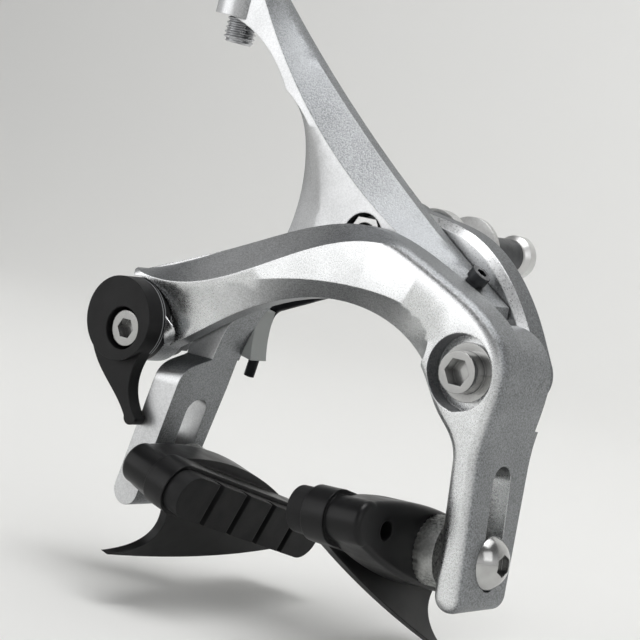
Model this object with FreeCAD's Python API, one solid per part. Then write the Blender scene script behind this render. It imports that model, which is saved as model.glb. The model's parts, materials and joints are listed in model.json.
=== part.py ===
import FreeCAD, Part
import math
import os

# Dual pivot side-pull caliper brake, in millimetres.
# X runs to the right as seen from the front, Y runs back along the mounting bolt, Z runs up.
# The origin lies on the mounting bolt's axis, on the face that seats against the fork or stay.

V = FreeCAD.Vector
ACROSS = V(1, 0, 0)
BACK = V(0, 1, 0)
UP = V(0, 0, 1)

# Stack on the mounting bolt, from the seat face forwards
seat_washer_t = 3.0
seat_washer_r = 8.2
seat_bush_t = 8.5
seat_bush_r = 6.6
bracket_t = 7.0
thrust_t = 0.6
y_arm_t = 9.0
arms_gap = 0.5
arch_t = 8.4

# Mounting bolt, its lock nut and its sleeve nut
bolt_r = 3.0
bolt_hole_play = 0.1
lock_nut_af = 8.0
lock_nut_t = 3.4
nut_recess_r = 5.0
nut_recess_depth = 4.6
bolt_tail = 24.0
sleeve_r = 4.0
sleeve_l = 20.0
sleeve_flange_r = 5.0
sleeve_flange_t = 2.2
sleeve_cone_t = 1.2
sleeve_socket_af = 5.0
sleeve_socket_depth = 4.0
sleeve_end_y = 33.0
dome_washer_r = 7.7
dome_washer_t = 4.0
dome_washer_edge = 1.4

# Pivot bushes, washers and running play
bush_wall = 1.4
bush_play = 0.05
thrust_r = 6.6

# Side pivot
pivot_x = 35.2
pivot_z = -21.5
pivot_boss_r = 9.9
pocket_r = 7.6
pocket_tip_r = 2.6
pocket_drop = 5.2
pocket_depth = 4.2
pivot_head_r = 4.2
pivot_head_t = 3.6
pivot_flange_r = 5.9
pivot_flange_t = 1.4
pivot_socket_af = 5.0
pivot_socket_depth = 2.8
pivot_shank_r = 3.5

# Bracket behind the arms
hub_r = 9.0
bracket_eye_r = 6.0
bracket_eye_angle = 60.0
bracket_crest = 14.2
bracket_crest_along = 14.5
bracket_neck = 10.0
bracket_neck_along = 35.8
bracket_bevel = 1.6

# Arched arm: anchor end, haunch, crown and shoulder of its upper edge, and the depth of its band
anchor_x = -51.0
anchor_z = -27.5
anchor_boss_r = 9.0
anchor_boss_t = 6.4
anchor_low_angle = -30.0
anchor_top_angle = 105.0
anchor_flare_r = 11.6
haunch_x = -26.0
haunch_z = -6.0
crown_x = 5.0
crown_z = 2.6
crown_h = 16.2
shoulder_x = 27.0
shoulder_z = -4.3
spandrel_x = -24.0
spandrel_z = -20.4
arch_round = 2.6
ridge_at_haunch = 7.2
ridge_at_crown = 3.4
ridge_depth = 5.5
belly_at_haunch = 1.4
belly_at_crown = 3.8
belly_end_angle = 150.0
belly_depth = 4.0
armpit_angle = 188.0
crotch_angle = 244.0

# Lower legs, their lean and their slots
leg_w = 6.8
leg_d = 15.0
leg_ahead = 1.8
right_bolt_x = 41.0
left_bolt_x = -43.4
shoe_bolt_z = -57.8
shoe_bolt_y = -27.2
right_lean = 3.5
left_lean = 13.5
leg_end = 10.2
leg_straight = 19.0
hip_out = 1.4
slot_w = 6.4
right_slot_up = 16.0
left_slot_up = 13.6
slot_down = 2.6
lug_out = 1.8
lug_h = 5.0

# Lever arm behind the arch: cable eye, waist and tail
eye_x = -45.4
eye_z = 46.6
eye_r = 6.4
eye_h = 10.0
eye_lean = 5.8
eye_shoulder = 2.5
waist_x = -21.6
waist_z = 9.0
neck_x = -27.0
neck_z = 27.6
back_x = -8.0
back_z = 20.6
tail_x = 32.6
tail_z = -8.4
tail_h = 2.4
bevel_w = 4.0
bevel_depth = 6.5
flank_x = -15.6
flank_z = 16.0
flank_low_x = -12.8
flank_depth = 5.0
bevel_over = 0.4

# Cable adjuster
adjuster_r = 3.5
adjuster_below = 5.6
adjuster_knob_r = 5.2
adjuster_knob_h = 7.0
adjuster_play = 0.08
housing_r = 2.6
housing_depth = 6.5
cable_r = 1.1
seal_t = 1.4
seal_r = 4.5
flute_r = 0.9
flute_sink = 0.6
flute_count = 12

# Quick release and cable anchor
cap_r = 9.3
cap_t = 6.8
cap_gap = 0.3
spindle_r = 6.4
spindle_play = 0.06
offset_x = 1.7
offset_z = -1.9
cap_hole_r = 4.7
cap_hole_depth = 5.2
anchor_head_r = 3.9
anchor_head_t = 4.2
anchor_socket_af = 4.0
anchor_socket_depth = 2.1
anchor_shank_r = 2.5
clamp_plate_r = 5.6
clamp_plate_t = 2.4
anchor_nut_af = 8.0
anchor_nut_t = 4.0
lever_l = 20.6
lever_side = 6.6
lever_root_angle = 40.0
lever_tip_r = 1.7
lever_neck_x = 5.0
lever_neck_z = -15.0
lever_t = 3.2

# Centring screw in the tail
screw_r = 1.6
screw_head_r = 2.2
screw_head_h = 2.0
screw_l = 8.0
screw_x = 26.5
screw_af = 2.0

# Return spring and its slide
wire_r = 1.2
spring_y = -12.2
spring_gap = 0.3
spring_bend = 5.0
spring_foot_x = -36.0
spring_foot_z = -36.5
spring_hip_x = -33.0
spring_hip_z = -20.5
slide_top_r = 2.6
slide_waist_r = 2.9
slide_foot_r = 4.4
slide_h = 11.0

# Brake shoes, in the frame of their bolt: inwards, back and up
cup_washer_r = 4.7
cup_washer_t = 2.3
ball_washer_r = 7.2
ball_washer_t = 4.8
dish = 1.2
block_t = 8.1
block_half = 7.9
block_half_l = 27.4
block_nose_r = 4.5
block_round = 1.2
cavity_r = 2.0
cavity_back = 17.6
cavity_depth = 4.0
rail_t = 5.4
rail_half = 5.6
rail_half_l = 28.0
pad_t = 4.0
pad_half = 4.7
pad_inset = 0.6
pad_grooves = 4
groove_pitch = 10.4
groove_w = 1.8
groove_depth = 2.2
fin_t = 2.0
fin_low = 18.9
fin_flare = 5.0
fin_bow = 1.5
fin_tip = 26.9
fin_root = 22.4
fin_hollow = 20.6
fin_hollow_low = 10.3
fin_middle = 5.0
fin_middle_low = 13.3
fin_tail = 24.0
button_r = 5.5
button_h = 3.3
button_socket_af = 4.0
button_socket_depth = 2.0
left_shoe_tilt = 14.5
right_shoe_tilt = 14.5

# Planes of the stack, worked out from the seat face forwards
bracket_back = -(seat_washer_t + seat_bush_t)
bracket_front = bracket_back - bracket_t
y_arm_back = bracket_front - thrust_t
y_arm_front = y_arm_back - y_arm_t
arch_back = y_arm_front - arms_gap
arch_front = arch_back - arch_t
pivot_back = y_arm_back
cap_back = arch_back - anchor_boss_t
leg_front = shoe_bolt_y - leg_d / 2 - leg_ahead
lever_back = leg_front - cap_gap
leg_back = shoe_bolt_y + leg_d / 2
sleeve_start = sleeve_end_y - sleeve_l
same = 0.001


def point(x, z, y=0.0):
    return V(x, y, z)


def cylinder_y(radius, x, z, y_from, y_to):
    """Round bar along Y between two planes."""
    return Part.makeCylinder(radius, y_to - y_from, V(x, y_from, z), BACK)


def tube_y(outer, inner, x, z, y_from, y_to):
    """Ring along Y between two planes."""
    return cylinder_y(outer, x, z, y_from, y_to).cut(cylinder_y(inner, x, z, y_from, y_to))


def hexagon(across_flats, start, direction, length):
    """Hexagonal prism that starts at a point and runs along a direction."""
    corner = across_flats / math.sqrt(3)
    ring = [V(corner * math.cos(math.pi * k / 3), corner * math.sin(math.pi * k / 3), 0) for k in range(6)]
    face = Part.Face(Part.makePolygon(ring + ring[:1]))
    face.Placement = FreeCAD.Placement(start, FreeCAD.Rotation(UP, direction))
    return face.extrude(direction * length)


def run(kind, points):
    """Edge through points: a line, an arc, a free curve, or a curve eased to its first and last entries."""
    if kind == "line":
        return Part.makeLine(points[0], points[1])
    if kind == "arc":
        return Part.Arc(points[0], points[1], points[2]).toShape()
    curve = Part.BSplineCurve()
    if kind == "eased":
        curve.interpolate(Points=points[1:-1], InitialTangent=points[0], FinalTangent=points[-1])
    else:
        curve.interpolate(points)
    return curve.toShape()


def plate(runs, along):
    """Solid between a closed outline, given as runs of points, and its copy moved along a vector."""
    return Part.Face(Part.Wire([run(kind, points) for kind, points in runs])).extrude(along)


def front_plate(runs, y_from, y_to):
    """Plate whose outline is drawn in the front view as (x, z) points."""
    drawn = [(kind, [V(x, 0, z) for x, z in points]) for kind, points in runs]
    made = plate(drawn, BACK * (y_to - y_from))
    made.translate(BACK * y_from)
    return made


def side_plate(runs, x_from, x_to):
    """Plate whose outline is drawn in the side view as (y, z) points."""
    drawn = [(kind, [V(0, y, z) for y, z in points]) for kind, points in runs]
    made = plate(drawn, ACROSS * (x_to - x_from))
    made.translate(ACROSS * x_from)
    return made


def around(x, z, radius, degrees):
    """Front-view place on a circle, counted anticlockwise from its right-hand side."""
    angle = math.radians(degrees)
    return x + radius * math.cos(angle), z + radius * math.sin(angle)


def towards(begin, end):
    """Front-view direction from one place to another, of length one."""
    length = math.hypot(end[0] - begin[0], end[1] - begin[1])
    return (end[0] - begin[0]) / length, (end[1] - begin[1]) / length


def edges_on(shape, y, inside):
    """Edges that lie in the plane y and whose middle passes a test on x and z."""
    found = []
    for edge in shape.Edges:
        middle = edge.valueAt((edge.FirstParameter + edge.LastParameter) / 2)
        ends = [v.Point.y for v in edge.Vertexes] + [middle.y]
        if all(abs(value - y) < same for value in ends) and inside(middle.x, middle.z):
            found.append(edge)
    return found


def slope(edge, foot, outside, front, depth):
    """Wedge that slopes a front face off, from a curve on the face to a curve behind it."""
    wires = []
    for points, y in ((edge, front), (foot, front + depth)):
        places = [V(x, y, z) for x, z in points]
        corner = V(outside[0], y, outside[1])
        wires.append(Part.Wire([
            run("curve", places),
            run("line", [places[-1], corner]),
            run("line", [corner, places[0]]),
        ]))
    return Part.makeLoft(wires, True, True)


def leg_frame(side):
    """Centre of a shoe bolt in its leg, with the leg's own inward and upward directions."""
    lean = math.radians(right_lean if side > 0 else left_lean)
    centre = V(right_bolt_x if side > 0 else left_bolt_x, shoe_bolt_y, shoe_bolt_z)
    inward = V(-side * math.cos(lean), 0, -math.sin(lean))
    upward = V(-side * math.sin(lean), 0, math.cos(lean))
    return centre, inward, upward


def on_leg(side, inward_by, up_by):
    """Front-view place (x, z) of a point given inwards and upwards of a shoe bolt."""
    centre, inward, upward = leg_frame(side)
    place = centre + inward * inward_by + upward * up_by
    return place.x, place.z


def to_leg(shape, side, tilt=0.0):
    """Move a shape made with X inwards, Y back and Z up to its leg, turned nose-up about the bolt."""
    lean = right_lean if side > 0 else left_lean
    moved = shape.copy()
    moved.rotate(V(0, 0, 0), ACROSS, -tilt)
    if side > 0:
        moved = moved.mirror(V(0, 0, 0), ACROSS)
    moved.rotate(V(0, 0, 0), BACK, -side * lean)
    moved.translate(leg_frame(side)[0])
    return moved


def leg_runs(side):
    """Front-view outline of a leg's straight part, from its outer knee round the toe to its inner knee."""
    half = leg_w / 2
    outer_knee = on_leg(side, -half, leg_straight)
    inner_knee = on_leg(side, half, leg_straight)
    outer_foot = on_leg(side, -half, half - leg_end)
    inner_foot = on_leg(side, half, half - leg_end)
    return [
        ("line", [outer_knee, outer_foot]),
        ("arc", [outer_foot, on_leg(side, 0, -leg_end), inner_foot]),
        ("line", [inner_foot, inner_knee]),
    ]


def leg_slot(side):
    """Slot across a leg, for the shoe bolt to slide in."""
    half = slot_w / 2
    top = right_slot_up if side > 0 else left_slot_up
    bar = Part.makeBox(2 * leg_w, slot_w, top + slot_down, V(-leg_w, -half, -slot_down))
    for z in (-slot_down, top):
        bar = bar.fuse(Part.makeCylinder(half, 2 * leg_w, V(-leg_w, 0, z), ACROSS))
    return to_leg(bar, side)


# Arched arm, from the cable anchor over the tyre to the side pivot and down the right leg
def make_c_arm():
    legs = leg_runs(1)
    outer_knee = legs[0][1][0]
    inner_knee = legs[-1][1][-1]
    leg_down = towards(outer_knee, legs[0][1][1])
    leg_up = (-leg_down[0], -leg_down[1])
    boss_top = around(anchor_x, anchor_z, anchor_flare_r, anchor_top_angle)
    boss_low = around(anchor_x, anchor_z, anchor_boss_r, anchor_low_angle)
    haunch = (haunch_x, haunch_z)
    spandrel = (spandrel_x, spandrel_z)
    crown_low = (crown_x, crown_z - crown_h)
    armpit = around(pivot_x, pivot_z, pivot_boss_r, armpit_angle)
    crotch = around(pivot_x, pivot_z, pivot_boss_r, crotch_angle)
    elbow = around(pivot_x, pivot_z, pivot_boss_r, 0)
    outline = [
        ("eased", [towards(boss_top, haunch), boss_top, haunch, (crown_x, crown_z), (shoulder_x, shoulder_z),
                   elbow, (0, -1)]),
        ("eased", [(0, -1), elbow, outer_knee, leg_down]),
    ] + legs + [
        ("eased", [leg_up, inner_knee, crotch, armpit, crown_low, spandrel, boss_low,
                   towards(spandrel, boss_low)]),
        ("line", [boss_low, boss_top]),
    ]
    front = front_plate(outline, arch_front, arch_back)
    rim = edges_on(front, arch_front, lambda x, z: x > anchor_x + anchor_boss_r)
    front = front.makeFillet(arch_round, rim)
    ridge_z = haunch_z - ridge_at_haunch
    front = front.cut([
        slope(
            [boss_top, (haunch_x, ridge_z), (crown_x, crown_z - ridge_at_crown), (shoulder_x, shoulder_z)],
            [boss_top, (haunch_x, haunch_z + bevel_over), (crown_x, crown_z + bevel_over),
             (shoulder_x, shoulder_z)],
            (haunch_x, eye_z),
            arch_front,
            ridge_depth,
        ),
        slope(
            [(anchor_x, anchor_z + anchor_boss_r), (haunch_x, ridge_z - belly_at_haunch),
             (crown_x, crown_low[1] + belly_at_crown),
             around(pivot_x, pivot_z, pivot_boss_r, belly_end_angle), armpit],
            [boss_low, (spandrel_x, spandrel_z - bevel_over), (crown_x, crown_low[1] - bevel_over), armpit],
            (crown_x, shoe_bolt_z),
            arch_front,
            belly_depth,
        ),
    ])
    boss = cylinder_y(anchor_boss_r, anchor_x, anchor_z, cap_back + cap_gap, arch_back)
    lug_z = pivot_z - pivot_boss_r
    foot_z = on_leg(1, 0, -leg_end)[1] - leg_w
    pivot = cylinder_y(pivot_boss_r, pivot_x, pivot_z, arch_back, pivot_back)
    rear = front_plate(outline, arch_back, leg_back + lug_out).common(side_plate(
        [
            ("line", [(arch_back, pivot_z), (arch_back, foot_z)]),
            ("line", [(arch_back, foot_z), (leg_back - lug_out, foot_z)]),
            ("line", [(leg_back - lug_out, foot_z), (leg_back + lug_out, lug_z - lug_h)]),
            ("line", [(leg_back + lug_out, lug_z - lug_h), (leg_back + lug_out, lug_z)]),
            ("line", [(leg_back + lug_out, lug_z), (pivot_back, lug_z)]),
            ("line", [(pivot_back, lug_z), (pivot_back, pivot_z)]),
            ("line", [(pivot_back, pivot_z), (arch_back, pivot_z)]),
        ],
        crown_x,
        right_bolt_x + leg_d,
    ))
    arm = front.fuse([boss, pivot, rear])
    floor = arch_front + pocket_depth
    drop_z = pivot_z - pocket_drop
    left = around(pivot_x, drop_z, pocket_tip_r, 180)
    right = around(pivot_x, drop_z, pocket_tip_r, 0)
    flank = front_plate(
        [
            ("line", [(pivot_x - pocket_r, pivot_z), (pivot_x + pocket_r, pivot_z)]),
            ("line", [(pivot_x + pocket_r, pivot_z), right]),
            ("arc", [right, (pivot_x, drop_z - pocket_tip_r), left]),
            ("line", [left, (pivot_x - pocket_r, pivot_z)]),
        ],
        arch_front,
        floor,
    )
    pocket = cylinder_y(pocket_r, pivot_x, pivot_z, arch_front, floor).fuse(flank)
    bore = cylinder_y(pivot_shank_r + bush_wall, pivot_x, pivot_z, arch_front, pivot_back)
    spindle_hole = cylinder_y(spindle_r + spindle_play, anchor_x, anchor_z, cap_back, arch_back)
    cap_seat = cylinder_y(cap_r + cap_gap, anchor_x, anchor_z, arch_front, cap_back + cap_gap)
    return arm.cut([pocket, bore, spindle_hole, cap_seat, leg_slot(1)]).removeSplitter()


# Lever arm on the mounting bolt: cable eye, body, tail and left leg
def make_y_arm():
    legs = leg_runs(-1)
    outer_knee = legs[0][1][0]
    inner_knee = legs[-1][1][-1]
    leg_up = towards(legs[-1][1][0], inner_knee)
    waist = (waist_x, waist_z)
    hip = on_leg(-1, -leg_w / 2 - hip_out, leg_straight + leg_d)
    seat = on_leg(-1, leg_w / 2, leg_straight + leg_d / 2)
    eye_low = (eye_x, eye_z - eye_h / 2)
    eye_right = (eye_x + eye_r, eye_z + eye_shoulder)
    under = (0, -hub_r)
    tail_low = (tail_x, tail_z - tail_h)
    tail = (tail_x, tail_z)
    body = front_plate(
        [
            ("curve", [eye_low, (neck_x, neck_z), waist, hip]),
            ("line", [hip, seat]),
            ("eased", [leg_up, seat, under, (1, 0)]),
            ("line", [under, tail_low]),
            ("line", [tail_low, tail]),
            ("curve", [tail, (back_x, back_z), eye_right]),
            ("line", [eye_right, eye_low]),
        ],
        y_arm_front,
        y_arm_back,
    )
    neck = (neck_x, neck_z)
    flank_low = (flank_low_x, under[1])
    body = body.cut([
        slope(
            [tail, (back_x - bevel_w, back_z - bevel_w), eye_right],
            [tail, (back_x + bevel_over, back_z + bevel_over), eye_right],
            (tail_x, eye_z + eye_h),
            y_arm_front,
            bevel_depth,
        ),
        slope(
            [neck, (flank_x, flank_z), flank_low],
            [neck, (waist_x - bevel_over, waist_z), hip],
            (eye_x, hip[1]),
            y_arm_front,
            flank_depth,
        ),
    ])
    thigh = [("line", [inner_knee, seat]), ("line", [seat, hip])]
    leg = front_plate([("line", [hip, outer_knee])] + legs + thigh, leg_front, leg_back)
    knee_z = on_leg(-1, 0, leg_straight)[1]
    foot_z = on_leg(-1, 0, -leg_end)[1] - leg_w
    leg = leg.common(side_plate(
        [
            ("line", [(y_arm_front, hip[1]), (y_arm_front, seat[1])]),
            ("eased", [towards((0, seat[1]), (-leg_d, knee_z)), (y_arm_front, seat[1]), (leg_front, knee_z),
                       (0, -1)]),
            ("line", [(leg_front, knee_z), (leg_front, foot_z)]),
            ("line", [(leg_front, foot_z), (leg_back - lug_out, foot_z)]),
            ("line", [(leg_back - lug_out, foot_z), (leg_back, knee_z)]),
            ("line", [(leg_back, knee_z), (y_arm_back, hip[1])]),
            ("line", [(y_arm_back, hip[1]), (y_arm_front, hip[1])]),
        ],
        left_bolt_x - leg_d,
        -hub_r,
    ))
    eye = to_eye(Part.makeCylinder(eye_r, eye_h, V(0, 0, -eye_h / 2)))
    arm = body.fuse([leg, eye])
    hole = to_eye(Part.makeCylinder(adjuster_r + adjuster_play, 2 * eye_h, V(0, 0, -eye_h)))
    recess = cylinder_y(nut_recess_r, 0, 0, y_arm_front, y_arm_front + nut_recess_depth)
    bore = cylinder_y(bolt_r + bush_wall, 0, 0, y_arm_front, y_arm_back)
    screw = to_screw(Part.makeCylinder(screw_r, screw_l, V(0, 0, -screw_l)))
    return arm.cut([hole, recess, bore, leg_slot(-1), screw]).removeSplitter()


def to_eye(shape):
    """Move a shape made along Z to the cable eye, leaned with the cable."""
    moved = shape.copy()
    moved.rotate(V(0, 0, 0), BACK, eye_lean)
    moved.translate(V(eye_x, (y_arm_front + y_arm_back) / 2, eye_z))
    return moved


def to_screw(shape):
    """Move a shape made along Z to the centring screw, square to the tail's upper edge."""
    fall = math.atan2(tail_z - back_z, tail_x - back_x)
    along = (screw_x - back_x) / (tail_x - back_x)
    moved = shape.copy()
    moved.rotate(V(0, 0, 0), BACK, -math.degrees(fall))
    moved.translate(V(screw_x, (y_arm_front + y_arm_back) / 2, back_z + along * (tail_z - back_z)))
    return moved


# Bracket that carries the side pivot on the mounting bolt
def make_bracket():
    distance = math.hypot(pivot_x, pivot_z)

    def beside(along, out):
        """Front-view place along the line from bolt to pivot, and out from it to the upper right."""
        return (along * pivot_x - out * pivot_z) / distance, (along * pivot_z + out * pivot_x) / distance

    turn = math.radians(bracket_eye_angle)
    eye_out = beside(distance + bracket_eye_r * math.cos(turn), bracket_eye_r * math.sin(turn))
    eye_in = beside(distance, -bracket_eye_r)
    hub_out = beside(0, hub_r)
    hub_in = beside(0, -hub_r)
    crest = beside(bracket_crest_along, bracket_crest)
    neck = beside(bracket_neck_along, bracket_neck)
    falling = beside(math.sin(turn), -math.cos(turn))
    bar = front_plate(
        [
            ("eased", [towards(hub_out, crest), hub_out, crest, neck, eye_out, falling]),
            ("line", [eye_out, eye_in]),
            ("line", [eye_in, hub_in]),
            ("line", [hub_in, hub_out]),
        ],
        bracket_front,
        bracket_back,
    )
    body = bar.fuse([
        cylinder_y(hub_r, 0, 0, bracket_front, bracket_back),
        cylinder_y(bracket_eye_r, pivot_x, pivot_z, bracket_front, bracket_back),
    ]).removeSplitter()
    body = body.makeChamfer(bracket_bevel, edges_on(body, bracket_front, lambda x, z: True))
    return body.cut([
        cylinder_y(bolt_r + bolt_hole_play, 0, 0, bracket_front, bracket_back),
        cylinder_y(pivot_shank_r, pivot_x, pivot_z, bracket_front, bracket_back),
    ])


# Mounting bolt and what is threaded on it
def make_centre_bolt():
    front = y_arm_front + nut_recess_depth - thrust_t - lock_nut_t
    return cylinder_y(bolt_r, 0, 0, front, bolt_tail)


def make_lock_nut():
    back = y_arm_front + nut_recess_depth - thrust_t
    nut = hexagon(lock_nut_af, V(0, back, 0), -BACK, lock_nut_t)
    return nut.cut(cylinder_y(bolt_r, 0, 0, back - lock_nut_t, back))


def make_centre_bush():
    back = y_arm_back
    front = y_arm_front + nut_recess_depth
    return tube_y(bolt_r + bush_wall, bolt_r + bush_play, 0, 0, front, back)


def make_centre_washers():
    inner = bolt_r + bolt_hole_play
    front = y_arm_front + nut_recess_depth
    return Part.makeCompound([
        tube_y(thrust_r, inner, 0, 0, bracket_front - thrust_t, bracket_front),
        tube_y(nut_recess_r - arms_gap, inner, 0, 0, front - thrust_t, front),
    ])


def make_seat_bush():
    flare = Part.makeCone(seat_bush_r, seat_washer_r - thrust_t, seat_bush_t, V(0, bracket_back, 0), BACK)
    return flare.cut(cylinder_y(bolt_r + bolt_hole_play, 0, 0, bracket_back, 0))


def make_seat_washer():
    return tube_y(seat_washer_r, bolt_r + bolt_hole_play, 0, 0, -seat_washer_t, 0)


def make_dome_washer():
    """Round washer for a curved seat, domed to the front, against the sleeve nut."""
    front = sleeve_start - dome_washer_t
    rise = dome_washer_t - dome_washer_edge
    ball = (dome_washer_r ** 2 + rise ** 2) / (2 * rise)
    washer = cylinder_y(dome_washer_r, 0, 0, front, sleeve_start)
    washer = washer.common(Part.makeSphere(ball, V(0, front + ball, 0)))
    return washer.cut(cylinder_y(bolt_r + bolt_hole_play, 0, 0, front, sleeve_start))


def make_mounting_nut():
    flange = sleeve_end_y - sleeve_flange_t
    nut = cylinder_y(sleeve_r, 0, 0, sleeve_start, sleeve_end_y).fuse([
        cylinder_y(sleeve_flange_r, 0, 0, flange, sleeve_end_y),
        Part.makeCone(sleeve_r, sleeve_flange_r, sleeve_cone_t, V(0, flange - sleeve_cone_t, 0), BACK),
    ])
    nut = nut.cut(cylinder_y(bolt_r, 0, 0, sleeve_start, sleeve_end_y - sleeve_socket_depth))
    socket = hexagon(sleeve_socket_af, V(0, sleeve_end_y, 0), -BACK, sleeve_socket_depth)
    return nut.cut(socket).removeSplitter()


# Side pivot bolt with its bush and washer
def make_side_pivot_bolt():
    floor = arch_front + pocket_depth
    flange = cylinder_y(pivot_flange_r, pivot_x, pivot_z, floor - pivot_flange_t, floor)
    head_front = floor - pivot_flange_t - pivot_head_t
    head = cylinder_y(pivot_head_r, pivot_x, pivot_z, head_front, floor - pivot_flange_t)
    shank = cylinder_y(pivot_shank_r, pivot_x, pivot_z, floor, bracket_back)
    bolt = flange.fuse([head, shank]).removeSplitter()
    return bolt.cut(hexagon(pivot_socket_af, V(pivot_x, head_front, pivot_z), BACK, pivot_socket_depth))


def make_side_pivot_bush():
    floor = arch_front + pocket_depth
    return tube_y(pivot_shank_r + bush_wall, pivot_shank_r + bush_play, pivot_x, pivot_z, floor, pivot_back)


def make_side_pivot_washer():
    inner = pivot_shank_r + bolt_hole_play
    return tube_y(thrust_r, inner, pivot_x, pivot_z, bracket_front - thrust_t, bracket_front)


# Centring screw in the lever arm's tail
def make_centring_screw():
    screw = Part.makeCylinder(screw_r, screw_l, V(0, 0, -screw_l))
    head = Part.makeCylinder(screw_head_r, screw_head_h, V(0, 0, 0))
    screw = screw.fuse(head).removeSplitter()
    socket = hexagon(screw_af, V(0, 0, screw_head_h), -UP, screw_head_h)
    return to_screw(screw.cut(socket))


# Return spring: one wire bent over below the bracket, its ends behind the legs
def make_return_spring():
    reach = wire_r + spring_gap
    out_x = -pivot_z / math.hypot(pivot_x, pivot_z)
    out_z = pivot_x / math.hypot(pivot_x, pivot_z)
    corners = [
        point(spring_foot_x, spring_foot_z, spring_y),
        point(spring_hip_x, spring_hip_z, spring_y),
        point(-out_x * (hub_r + reach), -out_z * (hub_r + reach), spring_y),
        point(pivot_x - out_x * (bracket_eye_r + reach), pivot_z - out_z * (bracket_eye_r + reach), spring_y),
        point(*on_leg(1, leg_w / 2, leg_straight), spring_y),
    ]
    edges = []
    start = corners[0]
    for before, corner, after in zip(corners, corners[1:], corners[2:]):
        back_along = (before - corner).normalize()
        on_along = (after - corner).normalize()
        half_turn = (math.pi - back_along.getAngle(on_along)) / 2
        trim = spring_bend * math.tan(half_turn)
        enter = corner + back_along * trim
        leave = corner + on_along * trim
        inside = (back_along + on_along).normalize()
        middle = corner + inside * (spring_bend / math.cos(half_turn) - spring_bend)
        edges.append(Part.makeLine(start, enter))
        edges.append(Part.Arc(enter, middle, leave).toShape())
        start = leave
    edges.append(Part.makeLine(start, corners[-1]))
    path = Part.Wire(edges)
    ring = Part.Wire(Part.makeCircle(wire_r, corners[0], corners[1] - corners[0]))
    return path.makePipeShell([ring], True, False)


def make_spring_slide():
    """Flared plastic slide on the back of the left leg, in front of the wire."""
    run_x = spring_foot_x - spring_hip_x
    run_z = spring_foot_z - spring_hip_z
    length = math.hypot(run_x, run_z)
    down_x = run_x / length
    down_z = run_z / length
    top = (spring_hip_x, spring_hip_z)
    foot = (spring_hip_x + down_x * slide_h, spring_hip_z + down_z * slide_h)
    waist = ((top[0] + foot[0]) / 2, (top[1] + foot[1]) / 2)

    def beside(place, by):
        return place[0] - down_z * by, place[1] + down_x * by

    sides = [(top, slide_top_r), (waist, slide_waist_r), (foot, slide_foot_r)]
    right = [beside(place, half) for place, half in sides]
    left = [beside(place, -half) for place, half in reversed(sides)]
    back = spring_y - wire_r - spring_gap
    return front_plate(
        [
            ("curve", right),
            ("line", [right[-1], left[0]]),
            ("curve", left),
            ("line", [left[-1], right[0]]),
        ],
        y_arm_back,
        back,
    )


# Cable adjuster in the eye, and the seal under its knob
def make_adjuster():
    bottom = -eye_h / 2 - adjuster_below
    knob_z = eye_h / 2 + seal_t
    stem = Part.makeCylinder(adjuster_r, knob_z - bottom, V(0, 0, bottom))
    knob = Part.makeCylinder(adjuster_knob_r, adjuster_knob_h, V(0, 0, knob_z))
    flute = Part.makeCylinder(flute_r, adjuster_knob_h, V(adjuster_knob_r + flute_r - flute_sink, 0, knob_z))
    flutes = []
    for k in range(flute_count):
        turned = flute.copy()
        turned.rotate(V(0, 0, 0), UP, 360 * k / flute_count)
        flutes.append(turned)
    body = stem.fuse(knob.cut(flutes)).removeSplitter()
    top = knob_z + adjuster_knob_h
    body = body.cut([
        Part.makeCylinder(housing_r, housing_depth, V(0, 0, top - housing_depth)),
        Part.makeCone(cable_r, housing_r, housing_r - cable_r,
                      V(0, 0, top - housing_depth - housing_r + cable_r)),
        Part.makeCylinder(cable_r, top - bottom, V(0, 0, bottom)),
    ])
    return to_eye(body)


def make_adjuster_seal():
    ring = Part.makeCylinder(seal_r, seal_t - arms_gap, V(0, 0, eye_h / 2))
    hole = Part.makeCylinder(adjuster_r + adjuster_play, seal_t, V(0, 0, eye_h / 2))
    return to_eye(ring.cut(hole))


# Quick release: cap with its lever, turning in the arm's end, and the cable clamp that it carries
def make_quick_release():
    cap_front = cap_back - cap_t
    cap = cylinder_y(cap_r, anchor_x, anchor_z, cap_front, cap_back)
    spindle = cylinder_y(spindle_r, anchor_x, anchor_z, cap_back, arch_back + cap_gap)
    tip_x = anchor_x + lever_side
    tip_z = anchor_z - lever_l
    outer = around(anchor_x, anchor_z, cap_r, 180)
    inner = around(anchor_x, anchor_z, cap_r, -lever_root_angle)
    tip_left = (tip_x - lever_tip_r, tip_z)
    tip_right = (tip_x + lever_tip_r, tip_z)
    lever = front_plate(
        [
            ("eased", [(0, -1), outer, tip_left, towards(outer, tip_left)]),
            ("arc", [tip_left, (tip_x, tip_z - lever_tip_r), tip_right]),
            ("curve", [tip_right, (anchor_x + lever_neck_x, anchor_z + lever_neck_z), inner]),
            ("line", [inner, outer]),
        ],
        lever_back - lever_t,
        lever_back,
    )
    body = cap.fuse([spindle, lever]).removeSplitter()
    x = anchor_x + offset_x
    z = anchor_z + offset_z
    return body.cut([
        cylinder_y(cap_hole_r, x, z, cap_front, cap_front + cap_hole_depth),
        cylinder_y(anchor_shank_r, x, z, cap_front, arch_back + cap_gap),
    ])


def make_anchor_bolt():
    x = anchor_x + offset_x
    z = anchor_z + offset_z
    floor = cap_back - cap_t + cap_hole_depth
    head = cylinder_y(anchor_head_r, x, z, floor - anchor_head_t, floor)
    end = arch_back + cap_gap + clamp_plate_t + anchor_nut_t
    shank = cylinder_y(anchor_shank_r, x, z, floor, end)
    socket = hexagon(anchor_socket_af, V(x, floor - anchor_head_t, z), BACK, anchor_socket_depth)
    return head.fuse(shank).removeSplitter().cut(socket)


def make_clamp_plate():
    x = anchor_x + offset_x
    z = anchor_z + offset_z
    front = arch_back + cap_gap
    return tube_y(clamp_plate_r, anchor_shank_r, x, z, front, front + clamp_plate_t)


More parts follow.
